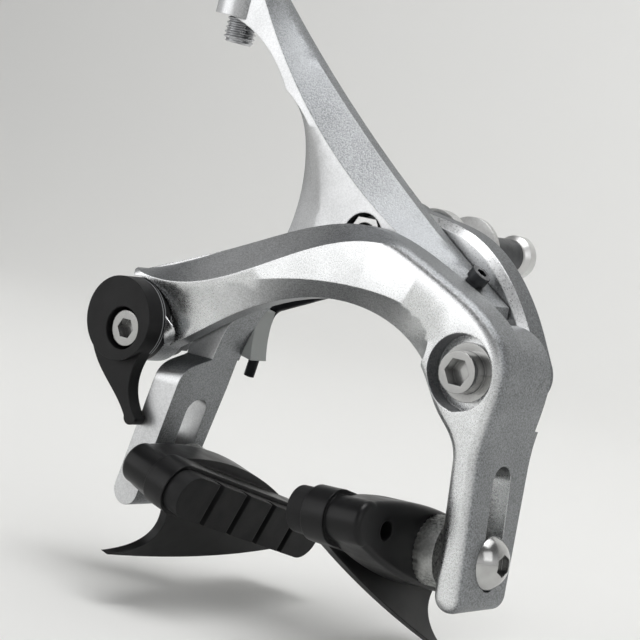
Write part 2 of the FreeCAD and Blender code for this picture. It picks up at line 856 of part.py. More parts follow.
def make_anchor_nut():
    x = anchor_x + offset_x
    z = anchor_z + offset_z
    front = arch_back + cap_gap + clamp_plate_t
    nut = hexagon(anchor_nut_af, V(x, front, z), BACK, anchor_nut_t)
    return nut.cut(cylinder_y(anchor_shank_r, x, z, front, front + anchor_nut_t))


# Brake shoes, made with X inwards from the middle of the leg, Y back and Z up
cup_x = leg_w / 2
ball_x = cup_x + cup_washer_t
block_x = ball_x + ball_washer_t
rail_x = block_x + block_t
pad_x = rail_x + rail_t


def make_cup_washer(side):
    ring = Part.makeCylinder(cup_washer_r, cup_washer_t, V(cup_x, 0, 0), ACROSS)
    hollow = Part.makeCone(cup_washer_r - dish, cup_washer_r, dish, V(ball_x - dish, 0, 0), ACROSS)
    return to_leg(ring.cut([hollow, shoe_bolt_hole(bolt_hole_play)]), side)


def make_ball_washer(side):
    ring = Part.makeCylinder(ball_washer_r, ball_washer_t, V(ball_x, 0, 0), ACROSS)
    ball = Part.makeCone(cup_washer_r - dish, cup_washer_r, dish, V(ball_x - dish, 0, 0), ACROSS)
    return to_leg(ring.fuse(ball).removeSplitter().cut(shoe_bolt_hole(bolt_hole_play)), side)


def shoe_bolt_hole(play):
    return Part.makeCylinder(bolt_r + play, rail_x, V(0, 0, 0), ACROSS)


def rounded_bar(x_from, thickness, half_length, half):
    """Bar along Y with round ends, as thick across as given."""
    straight = half_length - half
    bar = Part.makeBox(thickness, 2 * straight, 2 * half, V(x_from, -straight, -half))
    ends = [Part.makeCylinder(half, thickness, V(x_from, y, 0), ACROSS) for y in (-straight, straight)]
    return bar.fuse(ends).removeSplitter()


def make_block():
    """Holder's back: deep at the bolt, tapered to round ends, with a round cavity behind the bolt."""
    end = block_half_l - block_nose_r
    block = side_plate(
        [
            ("curve", [(-end, block_nose_r), (0, block_half), (end, block_nose_r)]),
            ("arc", [(end, block_nose_r), (block_half_l, 0), (end, -block_nose_r)]),
            ("curve", [(end, -block_nose_r), (0, -block_half), (-end, -block_nose_r)]),
            ("arc", [(-end, -block_nose_r), (-block_half_l, 0), (-end, block_nose_r)]),
        ],
        block_x,
        rail_x,
    )
    rim = [e for e in block.Edges if all(v.X < block_x + same for v in e.Vertexes)]
    block = block.makeFillet(block_round, rim)
    return block.cut(Part.makeCylinder(cavity_r, cavity_depth, V(block_x, cavity_back, 0), ACROSS))


def make_fin():
    """Guide under the rail, bowed outwards, from a hollow front edge and a sharp tip to nothing behind."""
    inner = [
        V(pad_x, 0, fin_t - rail_half),
        V(pad_x - fin_bow, 0, -(fin_low + rail_half) / 2),
        V(pad_x - fin_flare, 0, -fin_low),
    ]
    outer = [p - ACROSS * fin_t for p in reversed(inner)]
    sheet = plate(
        [
            ("curve", inner),
            ("line", [inner[-1], outer[0]]),
            ("curve", outer),
            ("line", [outer[-1], inner[0]]),
        ],
        BACK * (fin_tip + fin_tail),
    )
    sheet.translate(BACK * -fin_tip)
    tip = (-fin_tip, -fin_low)
    root = (-fin_root, -rail_half)
    tail = (fin_tail, fin_t - rail_half)
    return sheet.common(side_plate(
        [
            ("line", [(-fin_root, 0), (fin_tail, 0)]),
            ("line", [(fin_tail, 0), tail]),
            ("curve", [tail, (-fin_middle, -fin_middle_low), tip]),
            ("curve", [tip, (-fin_hollow, -fin_hollow_low), root]),
            ("line", [root, (-fin_root, 0)]),
        ],
        block_x,
        pad_x,
    ))


def make_shoe(side, tilt):
    rail = rounded_bar(rail_x, rail_t, rail_half_l, rail_half)
    shoe = rail.fuse([make_block(), make_fin()]).removeSplitter().cut(shoe_bolt_hole(0))
    if side > 0:
        shoe = shoe.mirror(V(0, 0, 0), BACK)
    return to_leg(shoe, side, tilt)


def make_pad(side, tilt):
    pad = rounded_bar(pad_x, pad_t, rail_half_l - pad_inset, pad_half)
    face = pad_x + pad_t - groove_depth
    cuts = []
    for k in range(pad_grooves):
        y = (k - (pad_grooves - 1) / 2) * groove_pitch - groove_w / 2
        cuts.append(Part.makeBox(groove_depth, groove_w, 2 * pad_half, V(face, y, -pad_half)))
    return to_leg(pad.cut(cuts), side, tilt)


def make_shoe_bolt(side):
    seat = V(-cup_x, 0, 0)
    ball = (button_r ** 2 + button_h ** 2) / (2 * button_h)
    half_turn = math.asin(button_r / ball) / 2
    over = V(-cup_x - button_h + ball * (1 - math.cos(half_turn)), 0, ball * math.sin(half_turn))
    dome = Part.Arc(V(-cup_x, 0, button_r), over, V(-cup_x - button_h, 0, 0)).toShape()
    floor = Part.makeLine(V(-cup_x - button_h, 0, 0), seat)
    under = Part.makeLine(seat, V(-cup_x, 0, button_r))
    head = Part.Face(Part.Wire([dome, floor, under])).revolve(V(0, 0, 0), ACROSS, 360)
    head = head.cut(hexagon(button_socket_af, V(-cup_x - button_h, 0, 0), ACROSS, button_socket_depth))
    sunk = button_h - button_socket_depth
    shank = Part.makeCylinder(bolt_r, rail_x + cup_x + sunk, seat - ACROSS * sunk, ACROSS)
    return to_leg(head.fuse(shank).removeSplitter(), side)


os.makedirs("parts", exist_ok=True)
nodes = {
    "c_arm": make_c_arm(),
    "y_arm": make_y_arm(),
    "pivot_bracket": make_bracket(),
    "centre_bolt": make_centre_bolt(),
    "lock_nut": make_lock_nut(),
    "centre_bush": make_centre_bush(),
    "centre_washers": make_centre_washers(),
    "seat_bush": make_seat_bush(),
    "seat_washer": make_seat_washer(),
    "dome_washer": make_dome_washer(),
    "mounting_nut": make_mounting_nut(),
    "side_pivot_bolt": make_side_pivot_bolt(),
    "side_pivot_bush": make_side_pivot_bush(),
    "side_pivot_washer": make_side_pivot_washer(),
    "centring_screw": make_centring_screw(),
    "quick_release": make_quick_release(),
    "anchor_bolt": make_anchor_bolt(),
    "clamp_plate": make_clamp_plate(),
    "anchor_nut": make_anchor_nut(),
    "return_spring": make_return_spring(),
    "spring_slide": make_spring_slide(),
    "barrel_adjuster": make_adjuster(),
    "adjuster_seal": make_adjuster_seal(),
}
for hand, side, tilt in (("left", -1, left_shoe_tilt), ("right", 1, right_shoe_tilt)):
    nodes[hand + "_cup_washer"] = make_cup_washer(side)
    nodes[hand + "_ball_washer"] = make_ball_washer(side)
    nodes[hand + "_shoe"] = make_shoe(side, tilt)
    nodes[hand + "_pad"] = make_pad(side, tilt)
    nodes[hand + "_shoe_bolt"] = make_shoe_bolt(side)
for name, shape in nodes.items():
    shape.exportStep("parts/" + name + ".step")
    print(name, shape.isValid(), len(shape.Solids), round(shape.Volume, 1))
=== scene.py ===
import json
import math
import bpy
import numpy as np
from mathutils import Matrix, Vector


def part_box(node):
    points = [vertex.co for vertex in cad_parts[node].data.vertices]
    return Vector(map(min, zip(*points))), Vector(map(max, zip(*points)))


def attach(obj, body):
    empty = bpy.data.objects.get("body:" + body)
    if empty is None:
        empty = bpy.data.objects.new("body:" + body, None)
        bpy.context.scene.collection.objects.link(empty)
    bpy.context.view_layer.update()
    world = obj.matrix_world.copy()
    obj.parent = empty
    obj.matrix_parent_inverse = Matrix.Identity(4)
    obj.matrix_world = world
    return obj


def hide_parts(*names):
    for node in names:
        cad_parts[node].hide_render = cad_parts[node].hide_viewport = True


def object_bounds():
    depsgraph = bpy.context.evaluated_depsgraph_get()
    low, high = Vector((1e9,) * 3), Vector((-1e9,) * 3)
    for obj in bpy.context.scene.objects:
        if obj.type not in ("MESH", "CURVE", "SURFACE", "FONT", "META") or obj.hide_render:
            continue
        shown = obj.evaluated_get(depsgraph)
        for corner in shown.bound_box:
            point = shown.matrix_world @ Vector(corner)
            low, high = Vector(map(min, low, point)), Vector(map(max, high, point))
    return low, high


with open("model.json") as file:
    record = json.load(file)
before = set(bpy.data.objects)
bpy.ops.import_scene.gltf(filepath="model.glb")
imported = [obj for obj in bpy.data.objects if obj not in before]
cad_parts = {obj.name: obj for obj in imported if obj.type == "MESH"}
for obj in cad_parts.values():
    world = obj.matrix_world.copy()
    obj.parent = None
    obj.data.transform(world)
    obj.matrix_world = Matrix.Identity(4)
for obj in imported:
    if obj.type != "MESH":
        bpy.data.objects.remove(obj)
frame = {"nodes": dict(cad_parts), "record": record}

cad_box = [list(corner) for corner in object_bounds()]

# Pivot bracket: a forged aluminium bar behind the arms that carries the side pivot, clamped on the
# mounting bolt with a bush of the same alloy behind it. Its sides are tumbled to a coarse satin grain
# and painted darker as shade, and the bevel round its front is polished and painted in the lit face
# colour, a painted highlight, so it shows as a bright strip.
MM = 0.001
crease_angle = math.radians(33.0)
polish_and_highlight_fade = 0.39


def linear(hex_colour):
    """Linear RGBA of an sRGB hex colour: each channel through the sRGB curve, alpha one."""
    channels = [int(hex_colour[i:i + 2], 16) / 255 for i in (1, 3, 5)]
    curve = [c / 12.92 if c <= 0.04045 else ((c + 0.055) / 1.055) ** 2.4 for c in channels]
    return (*curve, 1.0)


def add(tree, kind, settings=(), links=()):
    """Add a node, set its attributes or unlinked sockets by name, and link its sockets from outputs."""
    node = tree.nodes.new(kind)
    for name, value in dict(settings).items():
        if isinstance(name, int) or name in node.inputs:
            node.inputs[name].default_value = value
        else:
            setattr(node, name, value)
    for name, output in dict(links).items():
        tree.links.new(output, node.inputs[name])
    return node


def new_material(name):
    """Empty node material with its principled shader and its object coordinates."""
    material = bpy.data.materials.new(name)
    material.use_nodes = True
    tree = material.node_tree
    shader = tree.nodes["Principled BSDF"]
    place = add(tree, "ShaderNodeTexCoord").outputs["Object"]
    return material, tree, shader, place


def with_painted_hollow_shade(tree, colour):
    """The colour, darkened in sockets and inner corners a few millimetres wide as painted shade, by ambient
    occlusion.
    """
    # Painted shade: ambient occlusion darkens hollows and inner corners.
    open_sky = add(tree, "ShaderNodeAmbientOcclusion",
                   {"samples": 8, "only_local": True, "Distance": 2.5 * MM}).outputs["AO"]
    painted_shade_level = add(tree, "ShaderNodeMapRange", {"From Min": 0.25, "From Max": 0.85, "To Min": 0.3},
                {"Value": open_sky}).outputs["Result"]
    return add(tree, "ShaderNodeMix", {"data_type": "RGBA", "blend_type": "MULTIPLY", 0: 1.0},
               {6: colour, 7: painted_shade_level}).outputs[2]


def worn_relief(tree, shader, height, strength, depth, edge):
    """Edges shaded as if worn round to a radius, with a bump that follows a height pattern over them."""
    worn = add(tree, "ShaderNodeBevel", {"samples": 4, "Radius": edge}).outputs["Normal"]
    bump = add(tree, "ShaderNodeBump", {"Strength": strength, "Distance": depth},
               {"Height": height, "Normal": worn}).outputs["Normal"]
    tree.links.new(bump, shader.inputs["Normal"])


def forged_metal(name, lit_face_hex, shaded_side_hex, grain_mm, face_rough, side_rough, grit, polish_and_highlight=0.03):
    """Forged metal: smooth satin on faces square to the bolt, salt and pepper grain on the sides. The faces
    get a lit colour and the sides a darker one as painted shade. Faces turned less than the given limit stay
    smooth and keep the lit colour. The grain is drawn coarser than the real one, to show."""
    material, tree, shader, place = new_material(name)
    turned = add(tree, "ShaderNodeAttribute", {"attribute_name": "side"}).outputs["Fac"]
    side = add(tree, "ShaderNodeMapRange",
               {"interpolation_type": "SMOOTHSTEP", "From Min": polish_and_highlight, "From Max": polish_and_highlight + polish_and_highlight_fade},
               {"Value": turned}).outputs["Result"]
    grain = add(tree, "ShaderNodeTexNoise", {"Scale": 1 / (grain_mm * MM), "Detail": 3.0, "Roughness": 0.65},
                {"Vector": place}).outputs["Fac"]
    cloud = add(tree, "ShaderNodeTexNoise", {"Scale": 1 / (9 * MM), "Detail": 2.0},
                {"Vector": place}).outputs["Fac"]
    speck = add(tree, "ShaderNodeMapRange",
                {"From Min": 0.36, "From Max": 0.64, "To Min": -grit, "To Max": grit},
                {"Value": grain}).outputs["Result"]
    shown = add(tree, "ShaderNodeMath", {"operation": "MULTIPLY"}, {0: speck, 1: side}).outputs[0]
    fleck = add(tree, "ShaderNodeMath", {"operation": "MULTIPLY_ADD", 1: 0.35},
                {0: speck, 2: shown}).outputs[0]
    tone = add(tree, "ShaderNodeMapRange", {"From Min": 0.3, "From Max": 0.7, "To Min": 0.92, "To Max": 1.06},
               {"Value": cloud}).outputs["Result"]
    level = add(tree, "ShaderNodeMath", {"operation": "ADD"}, {0: tone, 1: fleck}).outputs[0]
    # Painted light: faces square to the bolt take the lit colour and the sides the shaded colour.
    colour = add(tree, "ShaderNodeMix", {"data_type": "RGBA", 6: linear(lit_face_hex), 7: linear(shaded_side_hex)},
                 {0: side}).outputs[2]
    lit = add(tree, "ShaderNodeMix", {"data_type": "RGBA", "blend_type": "MULTIPLY", 0: 1.0},
              {6: colour, 7: level}).outputs[2]
    # Base colour with painted shade darkening its hollows.
    tree.links.new(with_painted_hollow_shade(tree, lit), shader.inputs["Base Color"])
    rough = add(tree, "ShaderNodeMapRange", {"To Min": face_rough, "To Max": side_rough},
                {"Value": side}).outputs["Result"]
    uneven = add(tree, "ShaderNodeMath", {"operation": "MULTIPLY_ADD", 1: 0.25},
                 {0: fleck, 2: rough}).outputs[0]
    tree.links.new(uneven, shader.inputs["Roughness"])
    worn_relief(tree, shader, fleck, strength=0.35, depth=0.06 * MM, edge=0.35 * MM)
    shader.inputs["Metallic"].default_value = 1.0
    return material


def body_with(node):
    """Name of the body that a solid belongs to."""
    return next(name for name, nodes in frame["record"]["behaviour"]["bodies"].items() if node in nodes)


def show(obj, body, slot, *nodes):
    """Put a finished object into the scene on its body, in place of the solids that it stands for."""
    bpy.context.scene.collection.objects.link(obj)
    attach(obj, body)
    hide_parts(*nodes)


def skin(name, places, triangles, material):
    """Mesh object of triangles, equal points made one, smooth over its rounds and sharp at its corners.
    Attribute side is 0 where the surface is square to the mounting bolt and 1 where it lies along it."""
    keys = np.round(places * 1e7).astype(np.int64)
    first, merged = np.unique(keys, axis=0, return_index=True, return_inverse=True)[1:]
    triangles = merged.reshape(-1)[triangles]
    a, b, c = triangles.T
    triangles = triangles[(a != b) & (b != c) & (c != a)]
    mesh = bpy.data.meshes.new(name)
    mesh.from_pydata(places[first], [], triangles)
    mesh.polygons.foreach_set("use_smooth", np.ones(len(triangles), bool))
    mesh.set_sharp_from_angle(angle=crease_angle)
    normals = np.empty(len(mesh.loops) * 3, np.float32)
    mesh.corner_normals.foreach_get("vector", normals)
    mesh.attributes.new("side", "FLOAT", "CORNER").data.foreach_set("value", 1 - np.abs(normals[1::3]))
    mesh.materials.append(material)
    return bpy.data.objects.new(name, mesh)


def finished(node, slot, material):
    """The solid's own surface as a skin, shown in its place."""
    source = frame["nodes"][node].data
    places = np.empty(len(source.vertices) * 3)
    source.vertices.foreach_get("co", places)
    corners = np.empty(len(source.loops), int)
    source.loops.foreach_get("vertex_index", corners)
    obj = skin(node + "_skin", places.reshape(-1, 3), corners.reshape(-1, 3), material)
    show(obj, body_with(node), slot, node)


# Painted highlight: the limit of 0.31 gives the front bevel the lit face colour.
bracket_alloy = forged_metal("tumbled forged aluminium", "#DADBDC", "#77797B", grain_mm=0.42, face_rough=0.3,
                             side_rough=0.5, grit=0.34, polish_and_highlight=0.31)
finished("pivot_bracket", "bracket_alloy", bracket_alloy)
finished("seat_bush", "bracket_alloy", bracket_alloy)

# Mounting bolt stack: threaded bolt, lock nut, thrust washers, seat washers and the sleeve nut that
# passes through the fork, all of plated steel and turned, so fine rings show. The seat washers are
# blasted matt, and the sleeve nut's flange is painted pale as a painted highlight.
plating_hex = "#5A5B5D"
dull_plating_hex = "#444547"
flange_highlight_hex = "#CFCFCE"
nut_flange_y = 29.0 * MM
wave_radians = 20  # what a wave texture of scale one turns through in a metre


def turned_metal(name, hex_colour, dull_hex, rough, ring_mm, axis, highlight_from_y=1.0):
    """Turned metal: rings of the tool's feed across one axis, drawn coarser to show, and faint smears.
    Behind the given distance along Y the colour is painted pale, a painted highlight."""
    material, tree, shader, place = new_material(name)
    rings = add(tree, "ShaderNodeTexWave",
                {"bands_direction": axis, "Scale": 1 / (wave_radians * ring_mm * MM) * 2 * math.pi,
                 "Distortion": 0.6, "Detail": 1.0}, {"Vector": place}).outputs["Fac"]
    smear = add(tree, "ShaderNodeTexNoise", {"Scale": 1 / (2.2 * MM), "Detail": 4.0},
                {"Vector": place}).outputs["Fac"]
    mixed = add(tree, "ShaderNodeMath", {"operation": "MULTIPLY_ADD", 1: 0.12},
                {0: rings, 2: smear}).outputs[0]
    uneven = add(tree, "ShaderNodeMapRange",
                 {"From Min": 0.3, "From Max": 0.8, "To Min": rough * 0.75, "To Max": rough * 1.35},
                 {"Value": mixed}).outputs["Result"]
    tree.links.new(uneven, shader.inputs["Roughness"])
    worn_relief(tree, shader, mixed, strength=0.1, depth=0.02 * MM, edge=0.25 * MM)
    plated = add(tree, "ShaderNodeMix", {"data_type": "RGBA", 6: linear(hex_colour), 7: linear(dull_hex)},
                 {0: smear}).outputs[2]
    # Painted highlight: pale colour behind a depth along Y, on the sleeve nut's flange.
    depth = add(tree, "ShaderNodeSeparateXYZ", links={"Vector": place}).outputs["Y"]
    painted_highlight_mask = add(tree, "ShaderNodeMath", {"operation": "GREATER_THAN", 1: highlight_from_y}, {0: depth}).outputs[0]
    with_painted_highlight = add(tree, "ShaderNodeMix", {"data_type": "RGBA", 7: linear(flange_highlight_hex)},
                   {0: painted_highlight_mask, 6: plated}).outputs[2]
    # Base colour with painted shade darkening its hollows.
    tree.links.new(with_painted_hollow_shade(tree, with_painted_highlight), shader.inputs["Base Color"])
    shader.inputs["Metallic"].default_value = 1.0
    return material


def filled(corners, step):
    """Points along a line of (radius, height) corners, no further apart than the step, corners kept."""
    corners = np.array(corners)
    lengths = np.linalg.norm(np.diff(corners, axis=0), axis=1)
    counts = np.maximum(np.ceil(lengths / step).astype(int), 1)
    stations = np.concatenate([k + np.arange(n) / n for k, n in enumerate(counts)] + [[len(counts)]])
    return [np.interp(stations, np.arange(len(corners)), column) for column in corners.T]


def full_turn(steps):
    """Evenly spaced angles of one turn, the last short of the first by one step."""
    return 2 * math.pi * np.arange(steps) / steps


def threaded(radius, height, angle, pitch, depth, low, high):
    """Radius of each ring and angle, less a V groove that climbs one pitch a turn between two heights.
    The V is clipped at its root and between its flanks, so root and crest have narrow flats."""
    turn = (height[:, None] / pitch - angle[None, :] / (2 * math.pi)) % 1
    groove = np.clip(1.4 - 1.6 * np.abs(2 * turn - 1), 0, 1)
    within = np.clip((height - low) / pitch, 0, 1) * np.clip((high - height) / pitch, 0, 1)
    return radius[:, None] - depth * groove * within[:, None]


def lathe(name, radius, height, foot, axis, material):
    """Surface of revolution: ring i stands height[i] above the foot on the axis, radius[i, j] at angle j.
    The last ring joins the first: a hollow profile is a loop, a solid one starts and ends at radius 0."""
    rings, turns = radius.shape
    axis = Vector(axis).normalized()
    across = axis.orthogonal().normalized()
    angle = full_turn(turns)
    spokes = np.outer(np.cos(angle), across) + np.outer(np.sin(angle), axis.cross(across))
    places = np.array(foot) + height[:, None, None] * np.array(axis) + radius[:, :, None] * spokes
    i, j = np.meshgrid(np.arange(rings), np.arange(turns), indexing="ij")
    above, beside = (i + 1) % rings, (j + 1) % turns
    a, b, c, d = i * turns + j, i * turns + beside, above * turns + beside, above * turns + j
    halves = [np.stack(three, axis=-1).reshape(-1, 3) for three in ((a, b, c), (a, c, d))]
    return skin(name, places.reshape(-1, 3), np.concatenate(halves), material)


bright_steel = turned_metal("bright plated steel", "#C6C6C5", "#A4A4A3", rough=0.17, ring_mm=0.3, axis="Y")
dark_steel = turned_metal("dull plated steel", plating_hex, dull_plating_hex, rough=0.42, ring_mm=0.5,
                          axis="Y")
# The sleeve nut's pale flange is a painted highlight.
nut_steel = turned_metal("plated steel with a painted flange highlight", plating_hex, dull_plating_hex, rough=0.36,
                         ring_mm=0.5, axis="Y", highlight_from_y=nut_flange_y)
blasted_steel = forged_metal("blasted plated steel", "#CBCBCA", "#C0C0BF", grain_mm=0.5, face_rough=0.52,
                             side_rough=0.56, grit=0.12)
for steel_piece in ("lock_nut", "centre_washers"):
    finished(steel_piece, "bright_steel", bright_steel)
for seat_piece in ("seat_washer", "dome_washer"):
    finished(seat_piece, "bright_steel", blasted_steel)
finished("mounting_nut", "dark_steel", nut_steel)

bolt_low, bolt_high = [Vector(corner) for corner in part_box("centre_bolt")]
bolt_r = (bolt_high.x - bolt_low.x) / 2
bolt_l = bolt_high.y - bolt_low.y
bolt_plain_l = bolt_l * 0.35
bolt_pitch = 1.0 * MM
bolt_thread_depth = 0.55 * MM
bolt_end_bevel = 0.6 * MM
bolt_steps = 96
rings_per_pitch = 8
bolt_radius, bolt_height = filled([
    (0, 0), (bolt_r - bolt_end_bevel, 0), (bolt_r, bolt_end_bevel), (bolt_r, bolt_l - bolt_end_bevel),
    (bolt_r - bolt_end_bevel, bolt_l), (0, bolt_l)], bolt_pitch / rings_per_pitch)
bolt_form = threaded(bolt_radius, bolt_height, full_turn(bolt_steps), bolt_pitch, bolt_thread_depth,
                     bolt_plain_l, bolt_l)
show(lathe("mounting_bolt_thread", bolt_form, bolt_height, (0, bolt_low.y, 0), (0, 1, 0), dark_steel),
     body_with("centre_bolt"), "dark_steel", "centre_bolt")

# Side pivot: a plated steel bolt with a flange and a hexagon socket, in the pocket of the arched arm,
# running in a dull dark bush of filled nylon over a thrust washer. The lever arm's bush on the mounting
# bolt is of the same nylon.


def moulded_plastic(name, hex_colour, rough, grain_mm, relief):
    """Moulded plastic: one colour, with the spark-eroded grain of its mould, drawn coarser to show."""
    material, tree, shader, place = new_material(name)
    grain = add(tree, "ShaderNodeTexNoise", {"Scale": 1 / (grain_mm * MM), "Detail": 2.0},
                {"Vector": place}).outputs["Fac"]
    rub = add(tree, "ShaderNodeTexNoise", {"Scale": 1 / (5 * MM), "Detail": 3.0},
              {"Vector": place}).outputs["Fac"]
    uneven = add(tree, "ShaderNodeMapRange",
                 {"From Min": 0.3, "From Max": 0.7, "To Min": rough - 0.07, "To Max": rough + 0.07},
                 {"Value": rub}).outputs["Result"]
    tree.links.new(uneven, shader.inputs["Roughness"])
    worn_relief(tree, shader, grain, strength=relief, depth=0.05 * MM, edge=0.4 * MM)
    shader.inputs["Base Color"].default_value = linear(hex_colour)
    shader.inputs["Specular IOR Level"].default_value = 0.25
    return material


bush_nylon = moulded_plastic("dark filled nylon", "#3A3B3D", rough=0.5, grain_mm=0.4, relief=0.2)
finished("side_pivot_bolt", "bright_steel", bright_steel)
finished("side_pivot_washer", "bright_steel", bright_steel)
finished("side_pivot_bush", "bush_nylon", bush_nylon)
finished("centre_bush", "bush_nylon", bush_nylon)

# Arched arm: forged aluminium, smooth satin on its front and blasted to a grey grain on its sides,
# with a lit colour painted on its front and a darker colour painted on its sides as shade.
# It swings on the side pivot and carries the cable anchor at its far end.
satin_alloy = forged_metal("satin forged aluminium", "#DDDEDF", "#8A8C8E", grain_mm=0.34, face_rough=0.27,
                           side_rough=0.46, grit=0.3)
finished("c_arm", "satin_alloy", satin_alloy)

# Lever arm: the second forging, behind the arch on the mounting bolt, with the cable eye at its top,
# the centring screw in its tail and the left leg below. Its front is a little duller than the arch's.
lever_alloy = forged_metal("blasted forged aluminium", "#C9CACB", "#8A8C8E", grain_mm=0.34, face_rough=0.31,
                           side_rough=0.46, grit=0.3)
finished("y_arm", "satin_alloy", lever_alloy)
finished("centring_screw", "dark_steel", dark_steel)

# Cable adjuster: a turned aluminium barrel screwed through the eye of the lever arm, with a rubber seal
# under its knob. The stem is threaded, the knob is fluted, and the cable's housing has a seat inside.
adjuster_alloy = turned_metal("turned aluminium", "#CBCCCE", "#B2B3B5", rough=0.28, ring_mm=0.3, axis="Z")
seal_rubber = moulded_plastic("seal rubber", "#1C1C1D", rough=0.6, grain_mm=0.3, relief=0.2)
finished("adjuster_seal", "pad_rubber", seal_rubber)


def joint_named(name):
    """The record's entry of a joint, with its place and its axis."""
    return next(joint for joint in frame["record"]["behaviour"]["joints"] if joint["name"] == name)


adjuster_joint = joint_named("adjuster_turn")
stem_r = 3.5 * MM
stem_foot = -10.6 * MM
stem_pitch = 1.0 * MM
stem_thread_depth = 0.5 * MM
knob_r = 5.2 * MM
knob_foot = 6.4 * MM
knob_top = 13.4 * MM
seat_r = 2.6 * MM
seat_floor = 6.9 * MM
cable_r = 1.1 * MM
barrel_bevel = 0.4 * MM
stem_bevel = 2 * barrel_bevel
flutes = 12
flute_r = 0.9 * MM
flute_sink = 0.6 * MM
steps_per_flute = 10
barrel_radius, barrel_height = filled([
    (cable_r, stem_foot), (stem_r - stem_bevel, stem_foot), (stem_r, stem_foot + stem_bevel),
    (stem_r, knob_foot), (knob_r - barrel_bevel, knob_foot), (knob_r, knob_foot + barrel_bevel),
    (knob_r, knob_top - barrel_bevel), (knob_r - barrel_bevel, knob_top), (seat_r + barrel_bevel, knob_top),
    (seat_r, knob_top - barrel_bevel), (seat_r, seat_floor), (cable_r, seat_floor - seat_r + cable_r),
    (cable_r, stem_foot)], stem_pitch / rings_per_pitch)
barrel_turns = full_turn(steps_per_flute * flutes)
barrel_form = threaded(barrel_radius, barrel_height, barrel_turns, stem_pitch, stem_thread_depth,
                       stem_foot - stem_pitch, knob_foot)
on_outside = barrel_radius > stem_r - barrel_bevel
barrel_form = np.where(on_outside[:, None], barrel_form, barrel_radius[:, None])
flute_middle = knob_r + flute_r - flute_sink
off_flute = (barrel_turns + math.pi / flutes) % (2 * math.pi / flutes) - math.pi / flutes
chord = np.clip(flute_r ** 2 - (flute_middle * np.sin(off_flute)) ** 2, 0, None)
flute_form = np.where(chord > 0, flute_middle * np.cos(off_flute) - np.sqrt(chord), knob_r)
on_knob = (barrel_radius > stem_r + barrel_bevel) & (barrel_height > knob_foot - barrel_bevel)
barrel_form = np.where(on_knob[:, None], np.minimum(barrel_form, flute_form[None, :]), barrel_form)
show(lathe("adjuster_barrel", barrel_form[:-1], barrel_height[:-1], adjuster_joint["pos_m"],
           adjuster_joint["axis"], adjuster_alloy),
     body_with("barrel_adjuster"), "adjuster_alloy", "barrel_adjuster")

# Quick release: a matte black moulded cap and lever that turns in the arched arm's end, with two rings
# round the cap's rim painted pale as painted highlights. It carries the cable anchor, which is a socket
# bolt, a clamp plate and a nut of plated steel.
black_hex = "#121213"
ring_highlight_hex = "#8A8B8D"
cap_r = 9.3 * MM
rim_half = 0.1 * MM
ring_half = 0.15 * MM
ring_depths = (-1.6 * MM, -2.3 * MM)
black_plastic = moulded_plastic("matte black plastic", black_hex, rough=0.5, grain_mm=0.5, relief=0.35)
cap_tree = black_plastic.node_tree
cap_place = add(cap_tree, "ShaderNodeTexCoord").outputs["Object"]
cap_offset = add(cap_tree, "ShaderNodeVectorMath",
                 {"operation": "SUBTRACT", 1: joint_named("release_turn")["pos_m"]},
                 {0: cap_place}).outputs["Vector"]
cap_depth = add(cap_tree, "ShaderNodeSeparateXYZ", links={"Vector": cap_offset}).outputs["Y"]
cap_spoke = add(cap_tree, "ShaderNodeVectorMath", {"operation": "MULTIPLY", 1: (1, 0, 1)},
                {0: cap_offset}).outputs["Vector"]
cap_reach = add(cap_tree, "ShaderNodeVectorMath", {"operation": "LENGTH"}, {0: cap_spoke}).outputs["Value"]
# Painted highlight: two pale rings on the cap's rim.
on_rim = add(cap_tree, "ShaderNodeMath", {"operation": "COMPARE", 1: cap_r, 2: rim_half},
             {0: cap_reach}).outputs[0]
rear_ring, fore_ring = [add(cap_tree, "ShaderNodeMath", {"operation": "COMPARE", 1: depth, 2: ring_half},
                            {0: cap_depth}).outputs[0] for depth in ring_depths]
either = add(cap_tree, "ShaderNodeMath", {"operation": "MAXIMUM"}, {0: rear_ring, 1: fore_ring}).outputs[0]
painted_ring_highlight = add(cap_tree, "ShaderNodeMath", {"operation": "MULTIPLY"}, {0: either, 1: on_rim}).outputs[0]
cap_colour = add(cap_tree, "ShaderNodeMix",
                 {"data_type": "RGBA", 6: linear(black_hex), 7: linear(ring_highlight_hex)},
                 {0: painted_ring_highlight}).outputs[2]
cap_tree.links.new(cap_colour, cap_tree.nodes["Principled BSDF"].inputs["Base Color"])
finished("quick_release", "black_plastic", black_plastic)
finished("anchor_bolt", "bright_steel", bright_steel)
for anchor_piece in ("clamp_plate", "anchor_nut"):
    finished(anchor_piece, "dark_steel", dark_steel)

# Return spring and slide: one black oxide wire bent over under the bracket, and the grey nylon slide
# that it rubs on behind the left leg. The nylon lets a little light through.
light_depth = 1.2 * MM
spring_wire = turned_metal("black oxide wire", "#2A2B2E", "#1E1F21", rough=0.4, ring_mm=0.4, axis="X")
slide_nylon = moulded_plastic("grey nylon", "#A3A6A5", rough=0.45, grain_mm=0.6, relief=0.25)
slide_shader = slide_nylon.node_tree.nodes["Principled BSDF"]
slide_shader.inputs["Subsurface Weight"].default_value = 0.3
slide_shader.inputs["Subsurface Radius"].default_value = (light_depth, light_depth, light_depth)
finished("return_spring", "spring_wire", spring_wire)
finished("spring_slide", "slide_nylon", slide_nylon)

